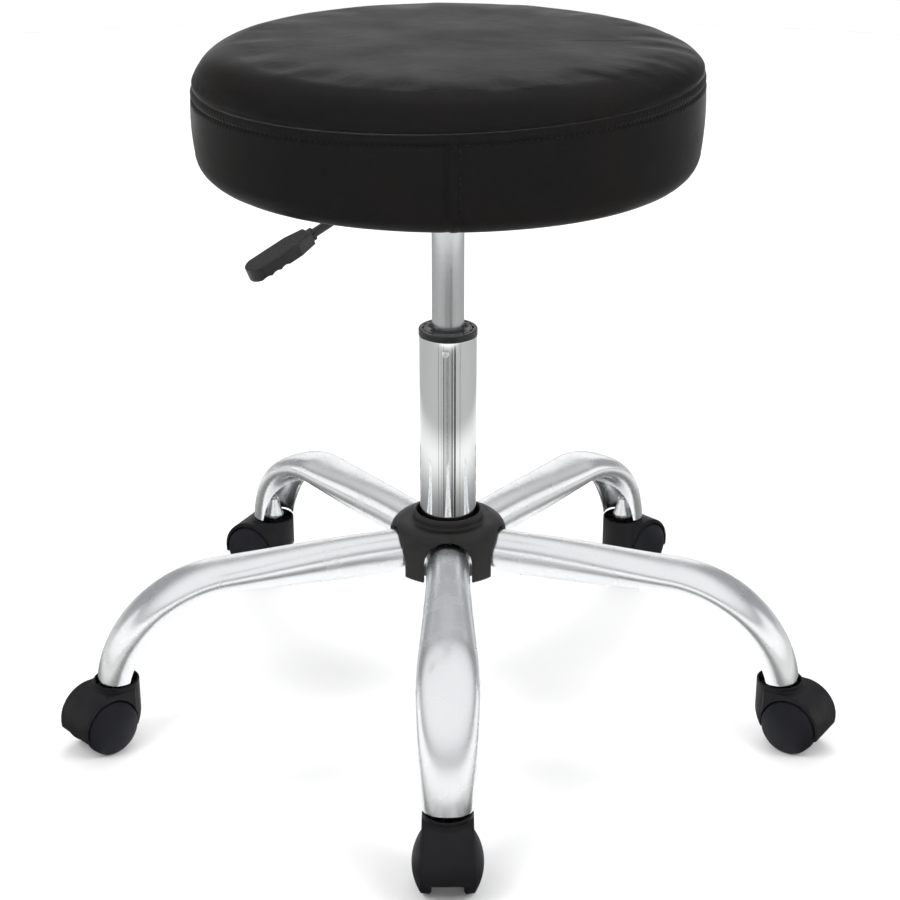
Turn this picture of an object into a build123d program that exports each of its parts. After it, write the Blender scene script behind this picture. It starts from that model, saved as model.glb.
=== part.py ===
"""Rolling stylist stool: five-leg chrome base on twin-wheel casters, gas lift, round vinyl seat.

Millimetres, +Z up. The origin is on the floor, on the column's axis. The seat stands at the top
of its travel. Leg 1 points along -Y and the others follow counter-clockwise, seen from above.
"""

import os
from math import cos, radians, sin, sqrt, tan

from build123d import *

# ---------------------------------------------------------------- driving dimensions
LEG_COUNT = 5
FIRST_LEG_ANGLE = 270.0
CASTER_HEADINGS = (270.0, 327.0, 44.0, 154.0, 222.0)  # way each caster trails, legs 1 to 5

# Legs: formed from 38 mm tube, level at first, then bent down over an arc.
LEG_AXIS_Z = 145.4
LEG_BEND_START_R = 206.0
LEG_BEND_RADIUS = 100.0
LEG_WALL = 2.0
LEG_END_Z = 62.5
LEG_SECTIONS = (  # run along the leg's centre line from the column's axis, width, height there
    (24.0, 38.0, 38.0),
    (60.0, 38.0, 37.5),
    (88.0, 38.7, 37.0),
    (120.0, 41.0, 35.0),
    (150.0, 43.3, 32.0),
    (180.0, 46.0, 28.5),
    (206.0, 48.2, 26.0),
    (230.4, 50.3, 24.6),
    (254.9, 51.6, 24.4),
    (279.3, 50.1, 26.0),
    (303.7, 47.3, 28.6),
    (324.7, 44.0, 30.6),
    (352.6, 40.6, 32.0),
)
LEG_BEND_STEPS = 15  # short straight-sided lengths that the bend is made of
LEG_OPENING_SHIFT = 4.0  # the cut that opens the bend is a circle set off from the bend's centre
LEG_OPENING_RADIUS = 84.5

# Hub: steel ring inside a round moulded cover with an arch cut over each leg.
HUB_CORE_RADIUS = 31.0
HUB_CORE_BOTTOM = 124.0
HUB_CORE_TOP = 166.5
COVER_BOTTOM = 128.5
COVER_SHOULDER_Z = 172.0
COVER_TOP = 180.0
COVER_RADIUS = 52.0
COVER_ROUNDING = 14.0
COVER_WALL = 3.0
COVER_BORE = 28.0
COLLAR_RADIUS = 31.5
ARCH_Z = 146.5
ARCH_RADIUS = 20.8

# Column: outer tube, plastic guide bushing and gas lift.
TUBE_RADIUS = 25.0
TUBE_WALL = 2.0
TUBE_BOTTOM = 118.0
TUBE_TOP = 345.0
TUBE_FLOOR = 3.0
FIT = 0.05  # radial clearance of a running or push fit
BUSHING_BOTTOM = 285.0
BUSHING_TOP = 351.0
BUSHING_FLANGE_RADIUS = 25.6
RIVET_Z = 335.0
RIVET_ANGLE = 265.0
CYLINDER_RADIUS = 14.0
CYLINDER_WALL = 2.0
CYLINDER_BOTTOM = 262.0
CYLINDER_TOP = 475.0
ROD_RADIUS = 5.0
ROD_BOTTOM = 111.0
ROD_TOP = 286.0
BUTTON_RADIUS = 4.0
BUTTON_TOP = 479.6

# Casters: a hood that swivels on its stem and carries two wheels on one axle.
STEM_CIRCLE_RADIUS = 305.0
STEM_RADIUS = 5.5
STEM_NECK_RADIUS = 4.0
STEM_BOTTOM = 34.5
STEM_SHOULDER_Z = 72.0
STEM_TOP = 84.5
SOCKET_BOTTOM = 61.0
SOCKET_TOP = 80.0
SOCKET_BASE_RADIUS = 10.2
SOCKET_TOP_RADIUS = 5.4
TRAIL = 18.5
WHEEL_RADIUS = 25.0
WHEEL_INNER_Y = 12.75
WHEEL_SHOULDER_Y = 21.0
WHEEL_OUTER_Y = 28.3
AXLE_RADIUS = 3.0
HOOD_TOP = 60.0
HOOD_RIM_RADIUS = 20.0
HOOD_HALF_WIDTH = 20.5
HOOD_WEB_HALF = 9.0
HOOD_CAVITY_RADIUS = 25.8
FENDER_RADIUS = 29.5
FENDER_CENTRE = (17.0, 26.0)
WELL_FLOOR_Z = 53.0
WELL_RADIUS = 18.3
HOOD_RIBS = 9

# Seat: plywood board, foam, vinyl cover in two panels, and the steel plate underneath.
SEAT_TOP_Z = 597.0
SEAT_FLAT_RADIUS = 173.0
SEAT_SEAM_RADIUS = 209.2
SEAT_SEAM_Z = 572.4
SEAT_SIDE_BULGE = 1.8
SEAT_LOWER_Z = 515.0
SEAT_UNDER_RADIUS = 189.0
SEAT_UNDER_Z = 492.5
VINYL = 1.2
HEM_RADIUS = 166.0
BOARD_RADIUS = 186.0
BOARD_THICKNESS = 12.0
DUST_COVER_RADIUS = 176.0
DUST_COVER_THICKNESS = 0.5
STAPLE_COUNT = 24
PLATE_SIZE = 180.0
PLATE_THICKNESS = 3.0
PLATE_HOLE_HALF = 75.0
SLEEVE_RADIUS = 18.0
SLEEVE_BOTTOM = 455.0
SCREW_RADIUS = 3.0

# Lever: rod pivoted on the plate, resting just above the release button.
LEVER_ANGLE = 214.5
LEVER_Z = 484.0
LEVER_PIVOT_R = 30.0
LEVER_BEND_R = 66.5
LEVER_DROP = 22.2  # degrees below level, outside the bend
LEVER_ROD_RADIUS = 3.75
LEVER_ROD_REACH = 90.0  # length of the sloping part
PADDLE_START = 75.0  # along the sloping part, from the bend
PADDLE_LENGTH = 61.0
PADDLE_WIDTH = 22.0
PADDLE_THICKNESS = 12.0
PIN_RADIUS = 2.5
LEVER_SLOT_HALF = 4.8  # half width of the plate's slot, which the rod rises into

# ---------------------------------------------------------------- worked out from them
LEG_ANGLES = [FIRST_LEG_ANGLE + 360.0 / LEG_COUNT * i for i in range(LEG_COUNT)]
LEG_BEND_CENTRE_Z = LEG_AXIS_Z - LEG_BEND_RADIUS
TUBE_BORE = TUBE_RADIUS - TUBE_WALL
BOARD_BOTTOM = SEAT_UNDER_Z + VINYL + 0.05
BOARD_TOP = BOARD_BOTTOM + BOARD_THICKNESS
DUST_COVER_BOTTOM = SEAT_UNDER_Z - 0.05 - DUST_COVER_THICKNESS
PLATE_TOP = DUST_COVER_BOTTOM
PLATE_BOTTOM = PLATE_TOP - PLATE_THICKNESS
SCREW_PLACES = [(x * PLATE_HOLE_HALF, y * PLATE_HOLE_HALF) for x in (-1, 1) for y in (-1, 1)]


# ---------------------------------------------------------------- helpers
def disc(radius, low, high):
    """Cylinder about the Z axis between two heights."""
    return Pos(0, 0, low) * Cylinder(radius, high - low, align=(Align.CENTER, Align.CENTER, Align.MIN))


def ring(outer, inner, low, high):
    """Round tube about the Z axis between two heights."""
    return disc(outer, low, high) - disc(inner, low - 1, high + 1)


def block(x, y, z):
    """Box between two X, two Y and two Z values."""
    size = (x[1] - x[0], y[1] - y[0], z[1] - z[0])
    middle = (sum(x) / 2, sum(y) / 2, sum(z) / 2)
    return Pos(*middle) * Box(*size)


def across(radius, x, z, low, high):
    """Cylinder along Y through (x, z), between two Y values."""
    turned = Rot(-90, 0, 0) * Cylinder(radius, high - low, align=(Align.CENTER, Align.CENTER, Align.MIN))
    return Pos(x, low, z) * turned


def turn(shape, angle):
    """The shape turned about the column's axis."""
    return Rot(0, 0, angle) * shape


def group(shapes):
    """Separate solids kept together in one node."""
    return Compound(children=list(shapes))


def save(name, shape):
    shape.label = name
    export_step(shape, f"parts/{name}.step")


# ---------------------------------------------------------------- base
def leg_plane(run):
    """Plane square to the leg's centre line, at a run along it."""
    if run <= LEG_BEND_START_R:
        return Plane(origin=(run, 0, LEG_AXIS_Z), x_dir=(0, 1, 0), z_dir=(1, 0, 0))
    a = (run - LEG_BEND_START_R) / LEG_BEND_RADIUS
    x = LEG_BEND_START_R + LEG_BEND_RADIUS * sin(a)
    z = LEG_BEND_CENTRE_Z + LEG_BEND_RADIUS * cos(a)
    return Plane(origin=(x, 0, z), x_dir=(0, 1, 0), z_dir=(cos(a), 0, -sin(a)))


def leg_size(run):
    """Width and height of the leg at a run, between the rows of its table."""
    for before, after in zip(LEG_SECTIONS, LEG_SECTIONS[1:]):
        if run <= after[0]:
            break
    part = (run - before[0]) / (after[0] - before[0])
    return [b + (a - b) * part for b, a in zip(before[1:], after[1:])]


def leg_loft(inset):
    straight = [row[0] for row in LEG_SECTIONS if row[0] < LEG_BEND_START_R]
    last = LEG_SECTIONS[-1][0]
    step = (last - LEG_BEND_START_R) / LEG_BEND_STEPS
    sections = []
    for run in straight + [LEG_BEND_START_R + step * k for k in range(LEG_BEND_STEPS + 1)]:
        width, height = leg_size(run)
        sections.append(leg_plane(run) * Ellipse(width / 2 - inset, height / 2 - inset))
    return loft(sections, ruled=True)


def leg_cavity():
    """Inside of the leg's tube, which also bounds the socket's weld bridge."""
    return leg_loft(LEG_WALL)


def leg_sector():
    """Wedge that each leg keeps to, so that neighbours meet in a mitre at the hub."""
    reach = STEM_CIRCLE_RADIUS + 50
    half = reach * tan(radians(180 / LEG_COUNT - 0.1))
    outline = Polyline((0, 0), (reach, half), (reach, -half), (0, 0))
    return extrude(make_face(outline), LEG_AXIS_Z * 2)


def make_leg():
    leg = leg_loft(0) - leg_cavity()
    opening_x = LEG_BEND_START_R + LEG_OPENING_SHIFT
    leg -= across(LEG_OPENING_RADIUS, opening_x, LEG_BEND_CENTRE_Z, -40, 40)
    leg -= block((250, 360), (-40, 40), (0, LEG_END_Z))
    leg &= leg_sector()
    return leg - disc(HUB_CORE_RADIUS + FIT, 100, 200)


def make_socket():
    """Cone that takes the stem, with the bridge that is welded to the leg's outer wall."""
    cone_start = SOCKET_BOTTOM + 2
    cone = Pos(0, 0, cone_start) * Cone(
        SOCKET_BASE_RADIUS - 0.7,
        SOCKET_TOP_RADIUS,
        SOCKET_TOP - cone_start,
        align=(Align.CENTER, Align.CENTER, Align.MIN),
    )
    socket = cone + disc(SOCKET_BASE_RADIUS, SOCKET_BOTTOM, cone_start)
    bridge = Pos(-STEM_CIRCLE_RADIUS, 0, 0) * leg_cavity() & block((2, 20), (-3, 3), (64, 76))
    socket += bridge
    socket -= disc(STEM_RADIUS + FIT, 0, STEM_SHOULDER_Z)
    return socket - disc(STEM_NECK_RADIUS + FIT, 0, 100)


def make_stem():
    """Steel pin with a thinner, grooved neck and a domed end."""
    stem = disc(STEM_RADIUS, STEM_BOTTOM, STEM_SHOULDER_Z - 0.1)
    stem += disc(STEM_NECK_RADIUS, STEM_SHOULDER_Z - 0.1, STEM_TOP)
    stem = fillet(stem.edges().group_by(Axis.Z)[-1], 2.5)
    stem = chamfer(stem.edges().group_by(Axis.Z)[0], 1)
    return stem - ring(STEM_NECK_RADIUS + 1, 3.3, 74.5, 77.5)


def make_grip_ring():
    """Split spring ring in the stem's groove."""
    spring = ring(STEM_NECK_RADIUS, 3.4, 74.7, 77.3)
    return spring - block((0, 10), (-0.8, 0.8), (70, 80))


def make_hub_core():
    return ring(HUB_CORE_RADIUS, TUBE_RADIUS + FIT, HUB_CORE_BOTTOM, HUB_CORE_TOP)


def make_arch():
    """Round-topped passage for a leg, open at the bottom, pointing along +X."""
    reach = 2 * COVER_RADIUS
    vault = Rot(0, 90, 0) * Cylinder(ARCH_RADIUS, reach, align=(Align.CENTER, Align.CENTER, Align.MIN))
    return Pos(0, 0, ARCH_Z) * vault + block((0, reach), (-ARCH_RADIUS, ARCH_RADIUS), (0, ARCH_Z))


def cover_dome(inset):
    """Round body of the cover, moved inwards by inset."""
    body = disc(COVER_RADIUS - inset, 0, COVER_SHOULDER_Z - inset)
    return fillet(body.edges().group_by(Axis.Z)[-1], COVER_ROUNDING - inset)


def make_hub_cover():
    collar = disc(COLLAR_RADIUS, COVER_SHOULDER_Z - 3, COVER_TOP)
    cover = cover_dome(0) + fillet(collar.edges().group_by(Axis.Z)[-1], 2)
    cover -= cover_dome(COVER_WALL)
    cover -= disc(COVER_BORE, 0, 300)
    for angle in LEG_ANGLES:
        cover -= turn(make_arch(), angle)
    return cover & disc(80, COVER_BOTTOM, 300)


# ---------------------------------------------------------------- column
def radial(radius, angle, z, start, end):
    """Cylinder pointing out from the column's axis."""
    pin = Rot(0, 90, 0) * Cylinder(radius, end - start, align=(Align.CENTER, Align.CENTER, Align.MIN))
    return turn(Pos(start, 0, z) * pin, angle)


def make_column_tube():
    tube = disc(TUBE_RADIUS, TUBE_BOTTOM, TUBE_TOP)
    tube -= disc(TUBE_BORE, TUBE_BOTTOM + TUBE_FLOOR, TUBE_TOP + 1)
    tube = chamfer(tube.edges().group_by(Axis.Z)[0], 1.5)
    tube -= disc(ROD_RADIUS + FIT, 0, 200)
    return tube - radial(2.0, RIVET_ANGLE, RIVET_Z, 20, 30)


def make_bushing():
    """Guide for the gas cylinder: a sleeve in the tube and a slotted flange on its mouth."""
    guide = disc(TUBE_BORE - FIT, BUSHING_BOTTOM, TUBE_TOP)
    flange = disc(BUSHING_FLANGE_RADIUS, TUBE_TOP + FIT, BUSHING_TOP)
    flange = fillet(flange.edges().group_by(Axis.Z)[-1], 1)
    guide += flange + disc(TUBE_BORE - FIT, TUBE_TOP - 1, BUSHING_TOP - 1)
    guide -= disc(CYLINDER_RADIUS + FIT, 0, 500)
    mouth = Pos(0, 0, BUSHING_TOP - 2.5) * Cone(
        CYLINDER_RADIUS, 18.5, 2.6, align=(Align.CENTER, Align.CENTER, Align.MIN)
    )
    guide -= mouth
    slot = ring(22.2, 20.8, BUSHING_TOP - 3, BUSHING_TOP + 1) & block((0, 30), (-3, 3), (300, 400))
    for i in range(16):
        guide -= turn(slot, i * 22.5)
    return guide - radial(2.0, RIVET_ANGLE, RIVET_Z, 17, 30)


def make_rivet():
    """Pop rivet through the tube into the bushing."""
    head = Pos(TUBE_RADIUS - 0.4, 0, 0) * Rot(0, 90, 0) * Cone(
        3.3, 2.2, 1.9, align=(Align.CENTER, Align.CENTER, Align.MIN)
    )
    head = fillet(head.edges().sort_by(Axis.X)[-1], 0.9)
    head -= disc(TUBE_RADIUS + 0.02, -10, 10)
    placed = turn(Pos(0, 0, RIVET_Z) * head, RIVET_ANGLE)
    return placed + radial(1.95, RIVET_ANGLE, RIVET_Z, 17.5, TUBE_RADIUS + 0.6)


def make_thrust_bearing():
    """Two hardened washers with a caged row of balls between them."""
    floor = TUBE_BOTTOM + TUBE_FLOOR
    hole = ROD_RADIUS + 0.2
    washers = [ring(14, hole, floor, floor + 1.5), ring(14, hole, floor + 4.5, floor + 6)]
    cage = ring(13.2, hole + 0.4, floor + 2.3, floor + 3.7)
    ball_places = PolarLocations(9.8, 9)
    balls = [place * Pos(0, 0, floor + 3) * Sphere(1.45) for place in ball_places]
    for place in ball_places:
        cage -= place * Pos(0, 0, floor + 3) * Cylinder(1.6, 4)
    return group(washers + [cage] + balls)


def make_piston_rod():
    rod = disc(ROD_RADIUS, ROD_BOTTOM, ROD_TOP)
    rod = chamfer(rod.edges().group_by(Axis.Z)[0], 1)
    rod += disc(9, TUBE_BOTTOM + TUBE_FLOOR + 6.1, TUBE_BOTTOM + TUBE_FLOOR + 9)
    return rod - ring(8, 3.9, 114.4, 116.0)


def make_retaining_clip():
    """E-clip in the rod's groove, under a plain washer."""
    clip = ring(8, 4.0, 114.6, 115.8) - block((0, 10), (-3, 3), (110, 120))
    return group([clip, ring(10, ROD_RADIUS + 0.2, 116.2, 117.8)])


def make_bump_stop():
    low = TUBE_BOTTOM + TUBE_FLOOR + 9.1
    stop = ring(12, ROD_RADIUS + 0.1, low, low + 24)
    return fillet(stop.edges().filter_by(GeomType.CIRCLE).group_by(Axis.Z)[-1][-1], 1.5)


def make_piston():
    return ring(CYLINDER_RADIUS - CYLINDER_WALL - FIT, ROD_RADIUS + 0.02, ROD_TOP - 10, ROD_TOP - 1)


def make_gas_cylinder():
    body = disc(CYLINDER_RADIUS, CYLINDER_BOTTOM, CYLINDER_TOP)
    body = chamfer(body.edges().group_by(Axis.Z)[-1], 1)
    body = chamfer(body.edges().group_by(Axis.Z)[0], 0.8)
    body -= disc(CYLINDER_RADIUS - CYLINDER_WALL, 0, CYLINDER_TOP - 6)
    return body - disc(BUTTON_RADIUS + FIT, 0, 500)


def make_rod_guide():
    """Guide and seal at the gas cylinder's lower end."""
    outer = CYLINDER_RADIUS - CYLINDER_WALL - 0.02
    return ring(outer, ROD_RADIUS + FIT, CYLINDER_BOTTOM + 1, CYLINDER_BOTTOM + 12)


def make_release_button():
    button = disc(BUTTON_RADIUS, CYLINDER_TOP - 7, BUTTON_TOP)
    return fillet(button.edges().group_by(Axis.Z)[-1], 1.8)


# ---------------------------------------------------------------- casters
def hood_side():
    """Side of the fender: round over the wheels, closed towards the stem."""
    cx, cz = FENDER_CENTRE
    edge = radians(-12.5)
    middle = radians(42)
    top = radians(96)
    tail = (cx + FENDER_RADIUS * cos(edge), cz + FENDER_RADIUS * sin(edge))
    crown = (cx + FENDER_RADIUS * cos(top), cz + FENDER_RADIUS * sin(top))
    waist = (cx + FENDER_RADIUS * cos(middle), cz + FENDER_RADIUS * sin(middle))
    outline = [
        ThreePointArc(tail, waist, crown),
        Polyline(crown, (-6, crown[1]), (-6, 18), (4, 14.5), (30, 14.5), tail),
    ]
    return Plane.XZ * make_face(outline)


def make_hood():
    """Caster hood, trailing along +X from its stem's axis."""
    hood = extrude(hood_side(), HOOD_HALF_WIDTH, both=True)
    neck = disc(HOOD_RIM_RADIUS, 18, HOOD_TOP)
    slope = Pos(-HOOD_RIM_RADIUS, 0, 33) * Rot(0, 50, 0) * block((-40, 40), (-40, 40), (-40, 0))
    hood += neck - slope
    for side in (-1, 1):
        reach = sorted((side * HOOD_WEB_HALF, side * 40))
        hood -= across(HOOD_CAVITY_RADIUS, TRAIL, WHEEL_RADIUS, *reach)
    hood += across(6, TRAIL, WHEEL_RADIUS, 0.4 - WHEEL_INNER_Y, WHEEL_INNER_Y - 0.4)
    hood -= ring(WELL_RADIUS, 7.6, WELL_FLOOR_Z, HOOD_TOP + 1)
    hood -= disc(WELL_RADIUS, HOOD_TOP - 1.5, HOOD_TOP + 1)
    rib = block((7.2, WELL_RADIUS + 0.4), (-0.6, 0.6), (WELL_FLOOR_Z - 0.5, HOOD_TOP - 2.8))
    for i in range(HOOD_RIBS):
        hood += turn(rib, 360 / HOOD_RIBS * (i + 0.5))
    hood -= disc(STEM_RADIUS + FIT, STEM_BOTTOM - 0.5, HOOD_TOP + 1)
    return hood - across(AXLE_RADIUS + 0.02, TRAIL, WHEEL_RADIUS, -40, 40)


def make_axle():
    axle = across(AXLE_RADIUS, TRAIL, WHEEL_RADIUS, -22, 22)
    return chamfer(axle.edges().filter_by(GeomType.CIRCLE), 0.6)


def make_wheel():
    """Left wheel: tread, domed outer face and a hollow towards the hood."""
    dome_radius = ((WHEEL_RADIUS - 1) ** 2 + (WHEEL_OUTER_Y - WHEEL_SHOULDER_Y) ** 2) / (
        2 * (WHEEL_OUTER_Y - WHEEL_SHOULDER_Y)
    )
    half_r = (WHEEL_RADIUS - 1) / 2
    half_y = WHEEL_OUTER_Y - dome_radius + sqrt(dome_radius**2 - half_r**2)
    inner = WHEEL_INNER_Y
    outline = [
        Polyline((0, WHEEL_OUTER_Y), (0, 23), (AXLE_RADIUS + FIT, 23), (AXLE_RADIUS + FIT, inner)),
        Polyline((AXLE_RADIUS + FIT, inner), (8, inner), (8, 18), (20.5, 18), (20.5, inner)),
        Line((20.5, inner), (WHEEL_RADIUS - 1.5, inner)),
        ThreePointArc(
            (WHEEL_RADIUS - 1.5, inner), (WHEEL_RADIUS - 0.44, inner + 0.44), (WHEEL_RADIUS, inner + 1.5)
        ),
        Line((WHEEL_RADIUS, inner + 1.5), (WHEEL_RADIUS, WHEEL_SHOULDER_Y - 1)),
        Line((WHEEL_RADIUS, WHEEL_SHOULDER_Y - 1), (WHEEL_RADIUS - 1, WHEEL_SHOULDER_Y)),
        ThreePointArc((WHEEL_RADIUS - 1, WHEEL_SHOULDER_Y), (half_r, half_y), (0, WHEEL_OUTER_Y)),
    ]
    wheel = revolve(make_face(outline), Axis.Y)
    return Pos(TRAIL, 0, WHEEL_RADIUS) * wheel


def place_caster(shape, number):
    """Move a shape from the caster's own frame to its leg, at the caster's heading."""
    swung = turn(shape, CASTER_HEADINGS[number])
    a = radians(LEG_ANGLES[number])
    return Pos(STEM_CIRCLE_RADIUS * cos(a), STEM_CIRCLE_RADIUS * sin(a), 0) * swung


# ---------------------------------------------------------------- seat
def seat_skin(inset):
    """Half section of the seat's outside, moved inwards by inset: top panel, then side."""
    seam_r = SEAT_SEAM_RADIUS - inset
    top = SEAT_TOP_Z - inset
    low = SEAT_UNDER_Z + inset
    turn_r = SEAT_UNDER_RADIUS
    shoulder = (SEAT_FLAT_RADIUS, top)
    roof = [
        Line((0, top), shoulder),
        EllipticalCenterArc(
            (SEAT_FLAT_RADIUS, SEAT_SEAM_Z),
            seam_r - SEAT_FLAT_RADIUS,
            top - SEAT_SEAM_Z,
            start_angle=0,
            arc_size=90,
        ),
    ]
    wall = [
        ThreePointArc(
            (seam_r, SEAT_SEAM_Z),
            (seam_r + SEAT_SIDE_BULGE, (SEAT_SEAM_Z + SEAT_LOWER_Z) / 2),
            (seam_r, SEAT_LOWER_Z),
        ),
        EllipticalCenterArc(
            (turn_r, SEAT_LOWER_Z),
            seam_r - turn_r,
            SEAT_LOWER_Z - low,
            start_angle=270,
            arc_size=90,
        ),
    ]
    return roof, wall


def xz(edges):
    """Edges drawn with X and Z as a flat drawing, laid in the XZ plane."""
    return Plane.XZ * make_face(edges)


def make_seat_top_cover():
    outer, _ = seat_skin(0)
    inner, _ = seat_skin(VINYL)
    sides = [
        Line((0, SEAT_TOP_Z), (0, SEAT_TOP_Z - VINYL)),
        Line((SEAT_SEAM_RADIUS, SEAT_SEAM_Z), (SEAT_SEAM_RADIUS - VINYL, SEAT_SEAM_Z)),
    ]
    return revolve(xz(outer + inner + sides), Axis.Z)


def make_seat_side_band():
    _, outer = seat_skin(0)
    _, inner = seat_skin(VINYL)
    seam_low = SEAT_SEAM_Z
    under = [
        Line((SEAT_SEAM_RADIUS, seam_low), (SEAT_SEAM_RADIUS - VINYL, seam_low)),
        Line((SEAT_UNDER_RADIUS, SEAT_UNDER_Z), (HEM_RADIUS, SEAT_UNDER_Z)),
        Line((HEM_RADIUS, SEAT_UNDER_Z), (HEM_RADIUS, SEAT_UNDER_Z + VINYL)),
        Line((HEM_RADIUS, SEAT_UNDER_Z + VINYL), (SEAT_UNDER_RADIUS, SEAT_UNDER_Z + VINYL)),
    ]
    return revolve(xz(outer + inner + under), Axis.Z)


def make_seat_foam():
    roof, wall = seat_skin(VINYL + 0.05)
    inset = VINYL + 0.05
    low = SEAT_UNDER_Z + inset
    closing = [
        Line((SEAT_UNDER_RADIUS, low), (0, low)),
        Line((0, low), (0, SEAT_TOP_Z - inset)),
    ]
    foam = revolve(xz(roof + wall + closing), Axis.Z)
    foam -= disc(BOARD_RADIUS + FIT, 0, BOARD_TOP + 0.05)
    for x, y in SCREW_PLACES:
        foam -= turn(Pos(x, y, 0) * disc(9.5, BOARD_TOP - 1, BOARD_TOP + 2), LEVER_ANGLE)
    return foam


def make_seat_board():
    board = disc(BOARD_RADIUS, BOARD_BOTTOM, BOARD_TOP)
    for x, y in SCREW_PLACES:
        board -= turn(Pos(x, y, 0) * disc(4.0, 0, 600), LEVER_ANGLE)
    return board


def make_dust_cover():
    cover = disc(DUST_COVER_RADIUS, DUST_COVER_BOTTOM, DUST_COVER_BOTTOM + DUST_COVER_THICKNESS)
    for x, y in SCREW_PLACES:
        cover -= turn(Pos(x, y, 0) * disc(3.3, 0, 600), LEVER_ANGLE)
    return cover


def make_staples():
    """Crowns of the staples that hold the dust cover and the vinyl's hem to the board."""
    crown = block((170.6, 171.4), (-5, 5), (DUST_COVER_BOTTOM - 0.75, DUST_COVER_BOTTOM - 0.05))
    return group(turn(crown, 360 / STAPLE_COUNT * i) for i in range(STAPLE_COUNT))


def make_seat_plate():
    """Steel plate with the cylinder's sleeve, a slot for the lever's rod and two ears for its pin."""
    half = PLATE_SIZE / 2
    plate = block((-half, half), (-half, half), (PLATE_BOTTOM, PLATE_TOP))
    plate = fillet(plate.edges().filter_by(Axis.Z), 16)
    for x, y in SCREW_PLACES:
        plate -= Pos(x, y, 0) * disc(3.3, 0, 600)
    plate -= block((LEVER_PIVOT_R + 6, half + 1), (-LEVER_SLOT_HALF, LEVER_SLOT_HALF), (480, 500))
    sleeve = ring(SLEEVE_RADIUS, CYLINDER_RADIUS + FIT, SLEEVE_BOTTOM, PLATE_BOTTOM)
    sleeve -= block((0, 30), (-5.5, 5.5), (477.5, PLATE_BOTTOM))
    plate += sleeve
    for side in (-1, 1):
        ear_y = sorted((side * 6.3, side * 9.3))
        ear = block((SLEEVE_RADIUS - 4, LEVER_PIVOT_R + 8), ear_y, (LEVER_Z - 8, PLATE_BOTTOM))
        plate += ear - disc(SLEEVE_RADIUS - 1, 0, 600)
    plate -= across(PIN_RADIUS + 0.02, LEVER_PIVOT_R, LEVER_Z, -15, 15)
    return turn(plate, LEVER_ANGLE)


def make_plate_screws():
    """Pan-head screws up through the plate and the board."""
    screws = []
    for x, y in SCREW_PLACES:
        head = disc(5.6, PLATE_BOTTOM - 3.6, PLATE_BOTTOM)
        head = fillet(head.edges().group_by(Axis.Z)[0], 1.6)
        head -= disc(2.2, PLATE_BOTTOM - 4, PLATE_BOTTOM - 1.6)
        screw = head + disc(SCREW_RADIUS, PLATE_BOTTOM - 1, BOARD_TOP - 1)
        screws.append(turn(Pos(x, y, 0) * screw, LEVER_ANGLE))
    return group(screws)


def make_tee_nuts():
    nuts = []
    for x, y in SCREW_PLACES:
        nut = ring(3.95, SCREW_RADIUS + 0.02, BOARD_TOP - 9, BOARD_TOP)
        nut += ring(9, SCREW_RADIUS + 0.02, BOARD_TOP, BOARD_TOP + 1.5)
        nuts.append(turn(Pos(x, y, 0) * nut, LEVER_ANGLE))
    return group(nuts)


# ---------------------------------------------------------------- lever
def slope_frame(along):
    """Frame on the lever's sloping part: X along the rod, Z square to it."""
    a = radians(LEVER_DROP)
    return Pos(LEVER_BEND_R + along * cos(a), 0, LEVER_Z - along * sin(a)) * Rot(0, LEVER_DROP, 0)


def make_lever_rod():
    a = radians(LEVER_DROP)
    end = (LEVER_BEND_R + LEVER_ROD_REACH * cos(a), 0, LEVER_Z - LEVER_ROD_REACH * sin(a))
    path = FilletPolyline((-4, 0, LEVER_Z), (LEVER_BEND_R, 0, LEVER_Z), end, radius=30)
    rod = sweep(Plane(origin=(-4, 0, LEVER_Z), z_dir=(1, 0, 0)) * Circle(LEVER_ROD_RADIUS), path)
    rod += across(5.0, LEVER_PIVOT_R, LEVER_Z - 0.2, -5.9, 5.9)
    rod -= across(PIN_RADIUS + FIT, LEVER_PIVOT_R, LEVER_Z, -15, 15)
    return turn(rod, LEVER_ANGLE)


def make_lever_pin():
    pin = across(PIN_RADIUS, LEVER_PIVOT_R, LEVER_Z, -10.5, 10.5)
    pin += across(4, LEVER_PIVOT_R, LEVER_Z, -11.5, -9.5)
    return turn(pin, LEVER_ANGLE)


def make_lever_paddle():
    """Moulded grip with a round end, a collar at the rod and finger scallops underneath."""
    half = PADDLE_WIDTH / 2
    body_end = PADDLE_LENGTH - half
    outline = [
        Polyline((0, -6.5), (0, 6.5), (16, half), (body_end, half)),
        ThreePointArc((body_end, half), (PADDLE_LENGTH, 0), (body_end, -half)),
        Polyline((body_end, -half), (16, -half), (0, -6.5)),
    ]
    grip = extrude(make_face(outline), PADDLE_THICKNESS / 2, both=True)
    grip = fillet(grip.faces().sort_by(Axis.Z)[-1].edges(), 1.2)
    grip = fillet(grip.faces().sort_by(Axis.Z)[0].edges(), 1.2)
    for x in (33, 42, 51):
        grip -= across(7, x, -PADDLE_THICKNESS / 2 - 5.2, -20, 20)
    collar = Rot(0, 90, 0) * Cylinder(5.6, 8)
    grip += collar
    grip -= Rot(0, 90, 0) * Cylinder(LEVER_ROD_RADIUS + 0.02, 2 * (LEVER_ROD_REACH - PADDLE_START + 0.5))
    return turn(slope_frame(PADDLE_START) * grip, LEVER_ANGLE)


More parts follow.
